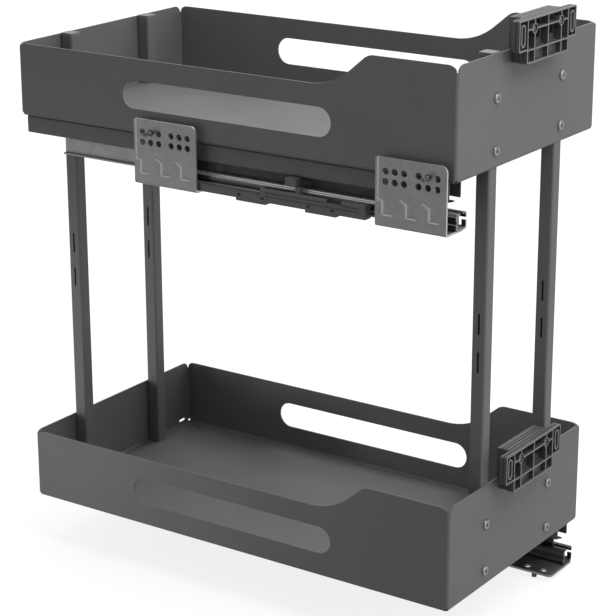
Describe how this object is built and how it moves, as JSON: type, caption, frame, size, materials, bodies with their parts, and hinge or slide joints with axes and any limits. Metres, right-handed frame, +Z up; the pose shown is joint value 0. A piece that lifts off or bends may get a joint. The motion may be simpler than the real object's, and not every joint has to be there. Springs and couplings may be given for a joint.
{
  "type": "pull out cabinet basket",
  "caption": "Pull-out cabinet basket: open folded trays on square posts, hung on concealed full-extension slides, with soft close and clip-on door brackets.",
  "frame": {"origin": "on the cabinet floor, at the centre of the floor brackets' row of screw holes, with the basket closed", "axes": "+Z up; the basket pulls out along -Y, where the door is; +X to the right for someone who faces the door"},
  "size_m": [0.2637, 0.4878, 0.5581],
  "materials": {
    "anthracite_coat": "fine matt powder coat",
    "zinc_steel": "satin zinc",
    "bright_steel": "bright zinc",
    "dark_plastic": "matt moulded",
    "cap_plastic": "matt moulded"
  },
  "bodies": {
    "cabinet_side": {"side_plate_front": "zinc_steel", "side_plate_rear": "zinc_steel", "floor_bracket_front": "zinc_steel", "floor_bracket_rear": "zinc_steel", "floor_pegs": "dark_plastic", "bracket_rivets": "bright_steel", "fixing_screws": "bright_steel", "upper_cabinet_rail": "zinc_steel", "lower_cabinet_rail": "zinc_steel", "upper_damper_housing": "dark_plastic", "lower_damper_housing": "dark_plastic", "upper_damper": "bright_steel", "lower_damper": "bright_steel", "upper_catch_spring": "bright_steel", "lower_catch_spring": "bright_steel"},
    "basket": {"upper_tray": "anthracite_coat", "lower_tray": "anthracite_coat", "post_front_left": "anthracite_coat", "post_front_right": "anthracite_coat", "post_rear_left": "anthracite_coat", "post_rear_right": "anthracite_coat", "post_caps": "cap_plastic", "upper_tray_screws": "bright_steel", "lower_tray_screws": "bright_steel", "upper_door_clip": "dark_plastic", "lower_door_clip": "dark_plastic", "upper_door_plate": "dark_plastic", "lower_door_plate": "dark_plastic", "door_plate_screws": "bright_steel", "upper_drawer_rail": "anthracite_coat", "lower_drawer_rail": "anthracite_coat", "drawer_rail_rivets": "anthracite_coat", "upper_activator": "dark_plastic", "lower_activator": "dark_plastic"},
    "upper_middle": {"upper_middle_rail": "zinc_steel"},
    "upper_base_cage": {"upper_base_cage": "dark_plastic", "upper_base_rollers": "bright_steel"},
    "upper_top_cage": {"upper_top_cage": "dark_plastic", "upper_top_rollers": "bright_steel"},
    "upper_catch_carriage": {"upper_catch": "dark_plastic", "upper_damper_rod": "bright_steel"},
    "lower_middle": {"lower_middle_rail": "zinc_steel"},
    "lower_base_cage": {"lower_base_cage": "dark_plastic", "lower_base_rollers": "bright_steel"},
    "lower_top_cage": {"lower_top_cage": "dark_plastic", "lower_top_rollers": "bright_steel"},
    "lower_catch_carriage": {"lower_catch": "dark_plastic", "lower_damper_rod": "bright_steel"}
  },
  "joints": [
    {"name": "basket_slide", "type": "slide", "parent": "cabinet_side", "child": "basket", "axis": [0, -1, 0], "range_m": [0, 0.43]},
    {"name": "upper_middle_slide", "type": "slide", "parent": "cabinet_side", "child": "upper_middle", "axis": [0, -1, 0], "range_m": [0, 0.215]},
    {"name": "upper_base_cage_slide", "type": "slide", "parent": "cabinet_side", "child": "upper_base_cage", "axis": [0, -1, 0], "range_m": [0, 0.1075]},
    {"name": "upper_top_cage_slide", "type": "slide", "parent": "cabinet_side", "child": "upper_top_cage", "axis": [0, -1, 0], "range_m": [0, 0.3225]},
    {"name": "upper_catch_slide", "type": "slide", "parent": "cabinet_side", "child": "upper_catch_carriage", "axis": [0, -1, 0], "range_m": [0, 0.04], "stiffness_N_per_m": 120, "deforming": ["upper_catch_spring"]},
    {"name": "lower_middle_slide", "type": "slide", "parent": "cabinet_side", "child": "lower_middle", "axis": [0, -1, 0], "range_m": [0, 0.215]},
    {"name": "lower_base_cage_slide", "type": "slide", "parent": "cabinet_side", "child": "lower_base_cage", "axis": [0, -1, 0], "range_m": [0, 0.1075]},
    {"name": "lower_top_cage_slide", "type": "slide", "parent": "cabinet_side", "child": "lower_top_cage", "axis": [0, -1, 0], "range_m": [0, 0.3225]},
    {"name": "lower_catch_slide", "type": "slide", "parent": "cabinet_side", "child": "lower_catch_carriage", "axis": [0, -1, 0], "range_m": [0, 0.04], "stiffness_N_per_m": 120, "deforming": ["lower_catch_spring"]}
  ],
  "couplings": [
    {"joint": "upper_middle_slide", "follows": "basket_slide", "ratio": 0.5},
    {"joint": "upper_base_cage_slide", "follows": "basket_slide", "ratio": 0.25},
    {"joint": "upper_top_cage_slide", "follows": "basket_slide", "ratio": 0.75},
    {"joint": "lower_middle_slide", "follows": "basket_slide", "ratio": 0.5},
    {"joint": "lower_base_cage_slide", "follows": "basket_slide", "ratio": 0.25},
    {"joint": "lower_top_cage_slide", "follows": "basket_slide", "ratio": 0.75}
  ]
}
